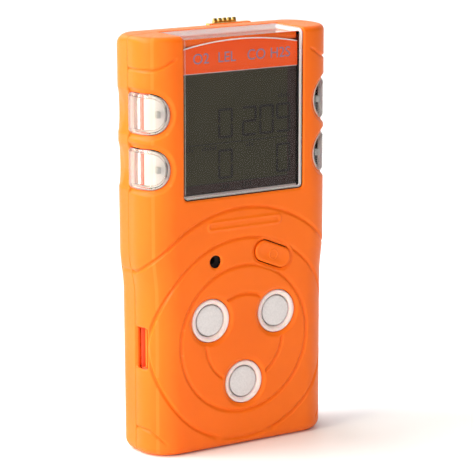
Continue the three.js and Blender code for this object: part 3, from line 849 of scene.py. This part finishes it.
def port(name):
    at = PORTS[name]
    face = FRONT + 0.35
    ring = [(4.62, FRONT + 2.3), (6.05, FRONT + 2.3), (6.12, face + 0.5)]
    ring += [(5.75 + 0.37 * math.cos(a), face + 0.37 - 0.37 * math.sin(a)) for a in np.linspace(0.2, 1.5, 7)]
    ring += [(5.35, face + 0.03), (5.0, face + 0.22), (4.75, face + 0.5), (4.62, face + 0.85)]
    # The ring is white; the pink in its colours is painted reflection of the orange case.
    piece = turned(f"port_ring_{name}", ring, at, "port_ring")
    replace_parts(piece, f"port_seal_{name}")
    top = FRONT + 0.75
    dome = [(FILTER_RADIUS * t, top + 0.18 * t ** 4) for t in np.linspace(1, 0, 10)]
    disc = [(0, top + 0.7), (FILTER_RADIUS, top + 0.7)] + dome[:-1] + [(0, top)]
    piece = turned(f"filter_disc_{name}", disc, at, "filter_cloth")
    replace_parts(piece, f"port_filter_{name}")


def outline_solid(name, outline, levels, material, body="case"):
    """A closed solid: its (x, z) outline is shrunk by inset at each (inset, y) level."""
    bm = bmesh.new()
    loops = []
    for inset, y in levels:
        loops.append([bm.verts.new((x, y, z)) for x, z in outline(inset)])
    join_loops(bm, loops)
    return from_bmesh(bm, name, material, body)


def stadium_outline(cx, cz, length, width, turn, steps=28):
    def made(inset):
        radius = max(width / 2 - inset, 0.05)
        straight = (length - width) / 2
        points = []
        for end in (1, -1):
            for a in np.linspace(-math.pi / 2, math.pi / 2, steps):
                along = end * (straight + radius * math.cos(a))
                across = end * radius * math.sin(a)
                points.append((cx + along * math.cos(turn) - across * math.sin(turn),
                               cz + along * math.sin(turn) + across * math.cos(turn)))
        return points
    return made


def key():
    face = corners("power_key")[0][1]
    outline = stadium_outline(KEY[0], KEY[2], KEY_LENGTH - 0.1, KEY_WIDTH - 0.1, KEY_TURN)
    levels = [(0, FRONT + 2.2), (0, face + 0.6)]
    edge = 0.55
    turns = np.linspace(0.2, 1.57, 6)
    levels += [(edge * (1 - math.cos(a)), face + edge - edge * math.sin(a)) for a in turns]
    levels += [(0.9, face + 0.02), (1.4, face + 0.10), (1.9, face + 0.16), (2.4, face + 0.18)]
    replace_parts(outline_solid("push_key", outline, levels, "key_orange", "key"), "power_key")
    turns = np.linspace(0, 2 * math.pi, 12, endpoint=False)
    ring = [(1.35 + 0.2 * math.cos(a), face + 0.17 - 0.16 * math.sin(a)) for a in turns]
    turned("key_mark_ring", ring, KEY, "key_orange", 48, "key")


for build in (front_cover, rear_cover, window, key):
    build()
for side in (-1, 1):
    for level, height in zip(("upper", "lower"), LENS_HEIGHTS):
        alarm_light(side, level, height)
for name in SENSORS:
    port(name)


# ---------------- display contents and printed marks

LCD_LOW, LCD_HIGH = corners("lcd_glass")
LCD_FACE = LCD_LOW[1] - 0.03


def bars(name, rectangles, y, material, thick=0.05, point=0.0, rear=False):
    """Flat marks: each is (x0, z0, x1, z1, pointed) and becomes a thin raised bar."""
    bm = bmesh.new()
    for x0, z0, x1, z1, pointed in rectangles:
        if pointed == "x":
            m = (z0 + z1) / 2
            ring = [(x0, m), (x0 + point, z0), (x1 - point, z0), (x1, m), (x1 - point, z1), (x0 + point, z1)]
        elif pointed == "z":
            m = (x0 + x1) / 2
            ring = [(m, z0), (x1, z0 + point), (x1, z1 - point), (m, z1), (x0, z1 - point), (x0, z0 + point)]
        else:
            ring = [(x0, z0), (x1, z0), (x1, z1), (x0, z1)]
        lean = [rear_y(z) - REAR if rear else 0 for x, z in ring]
        front = [bm.verts.new((x, y - thick + d, z)) for (x, z), d in zip(ring, lean)]
        back = [bm.verts.new((x, y + d, z)) for (x, z), d in zip(ring, lean)]
        bm.faces.new(front)
        bm.faces.new(back[::-1])
        for i in range(len(ring)):
            j = (i + 1) % len(ring)
            bm.faces.new((front[i], back[i], back[j], front[j]))
    piece = from_bmesh(bm, name, material)
    piece.data.shade_flat()
    return piece


SEGMENTS = {"0": "abcdef", "2": "abged", "9": "abcdfg"}


def digit(mark, x, z, width=4.9, height=8.4, thick=0.72, gap=0.14):
    """The lit bars of one seven-segment digit whose lower left corner is (x, z)."""
    middle = z + height / 2
    half = thick / 2
    right, top = x + width, z + height
    shapes = {
        "a": (x + gap, top - thick, right - gap, top, "x"),
        "d": (x + gap, z, right - gap, z + thick, "x"),
        "g": (x + gap, middle - half, right - gap, middle + half, "x"),
        "f": (x, middle + gap, x + thick, top - gap, "z"),
        "e": (x, z + gap, x + thick, middle - gap, "z"),
        "b": (right - thick, middle + gap, right, top - gap, "z"),
        "c": (right - thick, z + gap, right, middle - gap, "z"),
    }
    return [shapes[s] for s in SEGMENTS[mark]]


# The height of each row of digits, with each digit and its left edge.
DIGIT_ROWS = {88.6: (("0", -7.5), ("2", 0.4), ("0", 6.2), ("9", 11.9)), 77.2: (("0", -7.5), ("0", 11.9))}
# Small unit marks: left edge, height and number of strokes.
LEGENDS = ((-17.9, 85.6, 3), (-12.8, 85.6, 6), (1.9, 85.6, 3), (-6.9, 74.5, 4), (0.6, 74.5, 4),
           (12.6, 98.6, 5))
STROKE_STEP = 0.85
STROKE_WIDTH = 0.42
RULES = ((87.25, 87.5), (76.15, 76.35))
RULE_ENDS = (-18.4, 16.2)
PAINTED_SHADE_X = 15.7
PAINTED_SHADE_TOP = 76.1


def display():
    lit = []
    for height, marks in DIGIT_ROWS.items():
        for mark, x in marks:
            lit += digit(mark, x, height)
    bars("display_digits", lit, LCD_FACE, "lcd_ink", 0.05, 0.34)
    lines = [(RULE_ENDS[0], low, RULE_ENDS[1], high, "") for low, high in RULES]
    for x, z, count in LEGENDS:
        for k in range(count):
            tall = 1.2 if k % 2 else 0.8
            left = x + STROKE_STEP * k
            lines.append((left, z, left + STROKE_WIDTH, z + tall, ""))
    bars("display_legends", lines, LCD_FACE, "lcd_ink", 0.04)
    left, _, bottom = LCD_LOW
    right, _, top = LCD_HIGH
    # Painted shade: dark reddish sheets over the right strip and the lower band of the display.
    painted_shades = [(PAINTED_SHADE_X, bottom, right, top, ""), (left, bottom, PAINTED_SHADE_X - 0.1, PAINTED_SHADE_TOP, "")]
    bars("display_painted_shade", painted_shades, LCD_LOW[1] - 0.005, "lcd_painted_shade", 0.015)
    # Painted highlight: pale bars along the top, left and bottom edges of the display.
    rim = [(left - 0.5, top + 0.05, right + 0.4, top + 0.45, "")]
    rim += [(left - 0.8, bottom - 0.5, left - 0.2, top + 0.3, "")]
    rim += [(left - 0.5, bottom - 0.7, right + 0.4, bottom - 0.2, "")]
    bars("display_rim", rim, LCD_FACE + 0.6, "rim_painted_highlight", 0.3)


def words(name, text, x, z, height, y, material, slot):
    """Raised generic lettering from the built-in font, as a mesh."""
    curve = bpy.data.curves.new(name, "FONT")
    curve.body = text
    curve.size = height * 1.37 * MM
    curve.extrude = 0.02 * MM
    curve.align_x = "CENTER"
    piece = bpy.data.objects.new(name, curve)
    bpy.context.scene.collection.objects.link(piece)
    piece.rotation_euler = (math.pi / 2, 0, 0)
    piece.location = Vector((x, y, z)) * MM
    bpy.context.view_layer.update()
    graph = bpy.context.evaluated_depsgraph_get()
    mesh = bpy.data.meshes.new_from_object(piece.evaluated_get(graph))
    mesh.transform(piece.matrix_world)
    bpy.data.objects.remove(piece)
    mesh.materials.clear()
    mesh.materials.append(M[material])
    made = bpy.data.objects.new(name, mesh)
    bpy.context.scene.collection.objects.link(made)
    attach(made, "case")


STRIP_LOW, STRIP_HIGH = corners("name_strip")
STRIP_TEXT = {"O2": -13.0, "LEL": -4.6, "CO": 5.2, "H2S": 13.2}
STRIP_TEXT_Z = 109.9
STRIP_TEXT_HEIGHT = 3.0
STRIP_SIDE_Z = 113.9  # where the arched top edge meets the sides


def strip():
    face = STRIP_LOW[1] - 0.03
    for text, x in STRIP_TEXT.items():
        place = (x, STRIP_TEXT_Z, STRIP_TEXT_HEIGHT, face)
        words(f"strip_{text}", text, *place, "strip_print", "strip_orange")
    # Painted highlight: a pale line along the strip's arched top edge.
    half, crown = STRIP_HIGH[0], STRIP_HIGH[2]
    rise = crown - STRIP_SIDE_Z
    radius = (half ** 2 + rise ** 2) / (2 * rise)
    bm = bmesh.new()
    rings = []
    section = ((0, 0), (0.4, 0), (0.4, 0.32), (0, 0.32))
    for x in np.linspace(-half, half, 41):
        z = crown - radius + math.sqrt(radius ** 2 - x ** 2)
        rings.append([bm.verts.new((x, face + dy, z + dz)) for dy, dz in section])
    join_loops(bm, rings)
    from_bmesh(bm, "strip_edge", "rim_painted_highlight")


def rounded_box(name, low, high, radius, material, slot):
    """A box from its lowest to its highest corner, with rounded edges."""
    bm = bmesh.new()
    bmesh.ops.create_cube(bm, size=1)
    for v in bm.verts:
        for axis in range(3):
            v.co[axis] = low[axis] if v.co[axis] < 0 else high[axis]
    bmesh.ops.bevel(bm, geom=bm.edges, offset=radius, segments=3, profile=0.5, affect="EDGES")
    return from_bmesh(bm, name, material)


def behind_window():
    """The bar behind the top of the window and the wall under it, in a darker orange that is painted shade.
    """
    half = WINDOW_HALF - 0.2
    looks = ("inner_orange_painted_shade", "case_orange")
    rounded_box("window_bar", (-half, -8.2, 114.6), (half, 2.0, 116.85), 0.5, *looks)
    rounded_box("window_well", (-half, -5.0, 107.5), (half, -4.0, 114.8), 0.3, *looks)


RIB = {"x": 28.6, "first_x": 28.0, "wide": 1.4, "y": -4.4, "step": 1.3, "half_y": 0.42, "half_z": 4.9}
LINER = {"margin": 0.5, "inner_x": 25.2, "rear": -5.2, "sunk": 1.75, "thick": 0.5}
LAMP = {"x": (26.0, 27.2), "y": (-8.9, -7.6), "half": 0.9}
LEDGE = {"x": 28.3, "y": (-4.3, -3.5)}


def at_side(side, a, b):
    """Two distances from the middle, as the low and high x at that side."""
    return sorted((side * a, side * b))


def light_inside(side, level, height):
    """Ribs towards the side of a lens, coloured coral as painted shade of the orange case, and a white liner
    with the lamp towards the front.
    """
    place = f"{side_name_of(side)}_{level}"
    for k in range(4):
        y = RIB["y"] + RIB["step"] * k
        x = RIB["x"] if k else RIB["first_x"]
        low, high = at_side(side, x - RIB["wide"], x)
        rounded_box(f"light_rib_{place}_{k + 1}", (low, y - RIB["half_y"], height - RIB["half_z"]),
                    (high, y + RIB["half_y"], height + RIB["half_z"]), 0.25, "coral_rubber", "coral_rubber")

    def lined(p):
        x, z = p[:, 0] * side, p[:, 2]
        reach = LENS_HALF - LINER["margin"] - np.hypot(np.maximum(LENS_CENTRE_X - x, 0), z - height)
        inside = np.minimum.reduce([reach, x - LINER["inner_x"], LINER["rear"] - p[:, 1]])
        return np.where(x > 15, inside, -10)

    points, faces = trim(*FRONT_SKIN, lined, STEP)
    points = sink(points, faces, lambda p, normals: np.full(len(p), LINER["sunk"]))
    liner = add_object(f"light_liner_{place}", points, faces, "white_plastic")
    thicken(liner, LINER["thick"])
    low, high = at_side(side, *LAMP["x"])
    front, rear = LAMP["y"]
    rounded_box(f"light_lamp_{place}", (low, front, height - LAMP["half"]),
                (high, rear, height + LAMP["half"]), 0.2, "lamp_grey", "white_plastic")


def latch_pocket(side):
    """The lined pocket that a calibration cap hooks into, with its ledge. Its lining is coloured coral as
    painted shade inside the recess.
    """
    side_name = side_name_of(side)
    front, rear = LATCH["y"]
    z0, z1 = LATCH["z"]
    y0, y1 = front - LATCH_WALL, rear + LATCH_WALL
    below, above = z0 - LATCH_WALL, z1 + LATCH_WALL
    low, high = at_side(side, LATCH_FLOOR_X - LATCH_WALL, LATCH_FLOOR_X)
    walls = [((low, y0, below), (high, y1, above))]
    low, high = at_side(side, LATCH_FLOOR_X, LATCH_MOUTH_X - 0.4)
    walls += [
        ((low, y0, below), (high, y1, z0 - SLIT)),
        ((low, y0, z1 + SLIT), (high, y1, above)),
        ((low, rear + SLIT, below), (high, rear + 0.5, above)),
    ]
    low, high = at_side(side, LATCH_FLOOR_X, LATCH_MOUTH_X - 1.2)
    walls.append(((low, y0, below), (high, front - SLIT, above)))
    for k, (a, b) in enumerate(walls):
        rounded_box(f"latch_wall_{side_name}_{k + 1}", a, b, 0.1, "pocket_painted_shade", "case_orange")
    low, high = at_side(side, LATCH_FLOOR_X, LEDGE["x"])
    ledge_front, ledge_rear = LEDGE["y"]
    rounded_box(f"latch_ledge_{side_name}", (low, ledge_front, z0), (high, ledge_rear, z1), 0.2,
                "case_orange", "case_orange")


display()
strip()
behind_window()
for side in (-1, 1):
    latch_pocket(side)
    for level, height in zip(("upper", "lower"), LENS_HEIGHTS):
        light_inside(side, level, height)


# ---------------- back: boss, plate and clip spring

RULE_X = 14.5
RULES_Z = (24.0, 40.0, 54.0)
TEXT_Z = 26.5
TEXT_STEP = 3.2
TEXT_TALL = 0.8
STRIPES = {"x": -13.5, "step": 1.1, "count": 24, "bottom": 43.5, "top": 51.0}


def back():
    """The round boss under the clip, and the plain marks on the rating plate."""
    crest = REAR + 1.15
    boss = [(1.9, REAR - 2.2), (9.1, REAR - 2.2), (9.1, REAR), (8.9, REAR + 0.9), (8.5, crest)]
    boss += [(4.0, crest), (1.9, crest)]
    turned("clip_boss", boss, CLIP_SCREW, "case_orange")
    marks = [(-RULE_X, z, RULE_X, z + 0.3, "") for z in RULES_Z]
    for row in range(4):
        z = TEXT_Z + TEXT_STEP * row
        marks.append((-14.0, z, -5.0 + 3 * (row % 2), z + TEXT_TALL, ""))
        marks.append((1.0, z, 8.0 + 3 * ((row + 1) % 2), z + TEXT_TALL, ""))
    for k in range(STRIPES["count"]):
        x = STRIPES["x"] + STRIPES["step"] * k
        marks.append((x, STRIPES["bottom"], x + (0.7 if k % 3 else 0.35), STRIPES["top"], ""))
    bars("plate_marks", marks, REAR + 0.03, "plate_ink", 0.06, 0.0, True)


def spring():
    """The torsion spring: close coils round the pin."""
    low, high = corners("clip_spring")
    mid = (low + high) / 2
    wire = 0.42
    coil = 1.45 * 0.9
    per_turn = 16
    count = 8 * per_turn
    path = []
    for k in range(count + 1):
        a = 2 * math.pi * k / per_turn
        x = low[0] + wire + (high[0] - low[0] - 2 * wire) * k / count
        path.append((x, mid[1] + coil * math.cos(a), mid[2] + coil * math.sin(a)))
    sides = 8
    turns = np.linspace(0, 2 * math.pi, sides, endpoint=False)
    bm = bmesh.new()
    loops = []
    for i, p in enumerate(path):
        a, b = Vector(path[max(i - 1, 0)]), Vector(path[min(i + 1, len(path) - 1)])
        forward = (b - a).normalized()
        out = (Vector(p) - Vector((p[0], mid[1], mid[2]))).normalized()
        up = forward.cross(out).normalized()
        loops.append([bm.verts.new(Vector(p) + wire * (out * math.cos(t) + up * math.sin(t))) for t in turns])
    join_loops(bm, loops)
    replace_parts(from_bmesh(bm, "spring_coils", "clip_metal", "clip"), "clip_spring")


back()
spring()

for entry in frame["record"]["subparts"]:
    node = frame["nodes"][entry["node"]]
    if not node.hide_render:
        node.data.materials.clear()
        node.data.materials.append(M[entry["material_slot"]])


# ---------------- studio

def surroundings():
    """A pale room that is darker to the front right, where the display would mirror it."""
    world = bpy.data.worlds.new("studio")
    world.use_nodes = True
    tree = world.node_tree
    add, link = tree.nodes.new, tree.links.new
    background = tree.nodes["Background"]
    place = add("ShaderNodeTexCoord")
    towards = add("ShaderNodeVectorMath")
    towards.operation = "DOT_PRODUCT"
    towards.inputs[1].default_value = (0.55, -0.83, 0.05)
    link(place.outputs["Generated"], towards.inputs[0])
    fade = add("ShaderNodeMapRange")
    fade.inputs["From Min"].default_value = 0.2
    fade.inputs["From Max"].default_value = 0.85
    fade.inputs["To Min"].default_value = 0.38
    fade.inputs["To Max"].default_value = 0.08
    link(towards.outputs["Value"], fade.inputs["Value"])
    up = add("ShaderNodeSeparateXYZ")
    link(place.outputs["Generated"], up.inputs["Vector"])
    above = add("ShaderNodeMapRange")
    above.inputs["From Min"].default_value = 0.25
    above.inputs["To Min"].default_value = 1.0
    above.inputs["To Max"].default_value = 2.3
    link(up.outputs["Z"], above.inputs["Value"])
    total = add("ShaderNodeMath")
    total.operation = "MULTIPLY"
    link(fade.outputs["Result"], total.inputs[0])
    link(above.outputs["Result"], total.inputs[1])
    link(total.outputs["Value"], background.inputs["Strength"])
    background.inputs["Color"].default_value = (1, 1, 1, 1)
    return world


def studio():
    mesh = bpy.data.meshes.new("floor")
    rows = []
    reach, back_y, rise, turn = 4.0, 2.4, 3.0, 1.2
    profile = [(-3.0, 0.0), (back_y - turn, 0.0)]
    bend = np.linspace(0.1, 1.57, 14)
    profile += [(back_y - turn + turn * math.sin(a), turn * (1 - math.cos(a))) for a in bend]
    profile += [(back_y, rise)]
    verts = [(x, y, z) for y, z in profile for x in (-reach, reach)]
    faces = [(2 * i, 2 * i + 1, 2 * i + 3, 2 * i + 2) for i in range(len(profile) - 1)]
    mesh.from_pydata(verts, [], faces)
    mesh.shade_smooth()
    floor = bpy.data.objects.new("floor", mesh)
    bpy.context.scene.collection.objects.link(floor)
    paper = Nodes("paper")
    paper.link(paper.ramp(paper.noise(3), ((0.3, (0.93, 0.93, 0.93)), (0.7, (0.95, 0.95, 0.95)))),
               paper.shader.inputs["Base Color"])
    paper.set(Roughness=0.55)
    mesh.materials.append(paper.material)
    floor.rotation_euler = (0, 0, math.radians(-33.4))

    bpy.context.scene.world = surroundings()
    bpy.context.scene.view_settings.view_transform = "Standard"


def lamp(name, at, towards, size, power, colour=(1, 1, 1)):
    data = bpy.data.lights.new(name, "AREA")
    data.size = size
    data.energy = power
    data.color = colour
    light = bpy.data.objects.new(name, data)
    bpy.context.scene.collection.objects.link(light)
    light.location = Vector(at)
    light.rotation_euler = (Vector(towards) - Vector(at)).to_track_quat("-Z", "Y").to_euler()


def camera():
    """A view from the left and slightly above, with a long lens."""
    azimuth, elevation, distance = math.radians(-33.4), math.radians(11.93), 0.66385
    target = Vector((-2.61, FRONT, 60.69)) * MM
    away = Vector((math.sin(azimuth) * math.cos(elevation), -math.cos(azimuth) * math.cos(elevation),
                   math.sin(elevation)))
    data = bpy.data.cameras.new("camera")
    data.sensor_width = 36
    data.lens = 180.5
    data.clip_start = 0.01
    eye = bpy.data.objects.new("camera", data)
    bpy.context.scene.collection.objects.link(eye)
    eye.location = target + away * distance
    eye.rotation_euler = (-away).to_track_quat("-Z", "Y").to_euler()
    bpy.context.scene.camera = eye


studio()
lamp("backdrop", (-1.0, 0.6, 1.3), (1.0, 2.2, 0.4), 1.2, 40)
MIDDLE = (0, 0, 0.06)
lamp("key", (-0.95, -0.10, 0.40), MIDDLE, 0.35, 7.8, (1.0, 0.93, 0.74))
lamp("front_fill", (-0.35, -1.2, 0.45), MIDDLE, 0.8, 3.4)
lamp("top_back", (-0.3, 0.75, 0.8), MIDDLE, 0.7, 5)
camera()
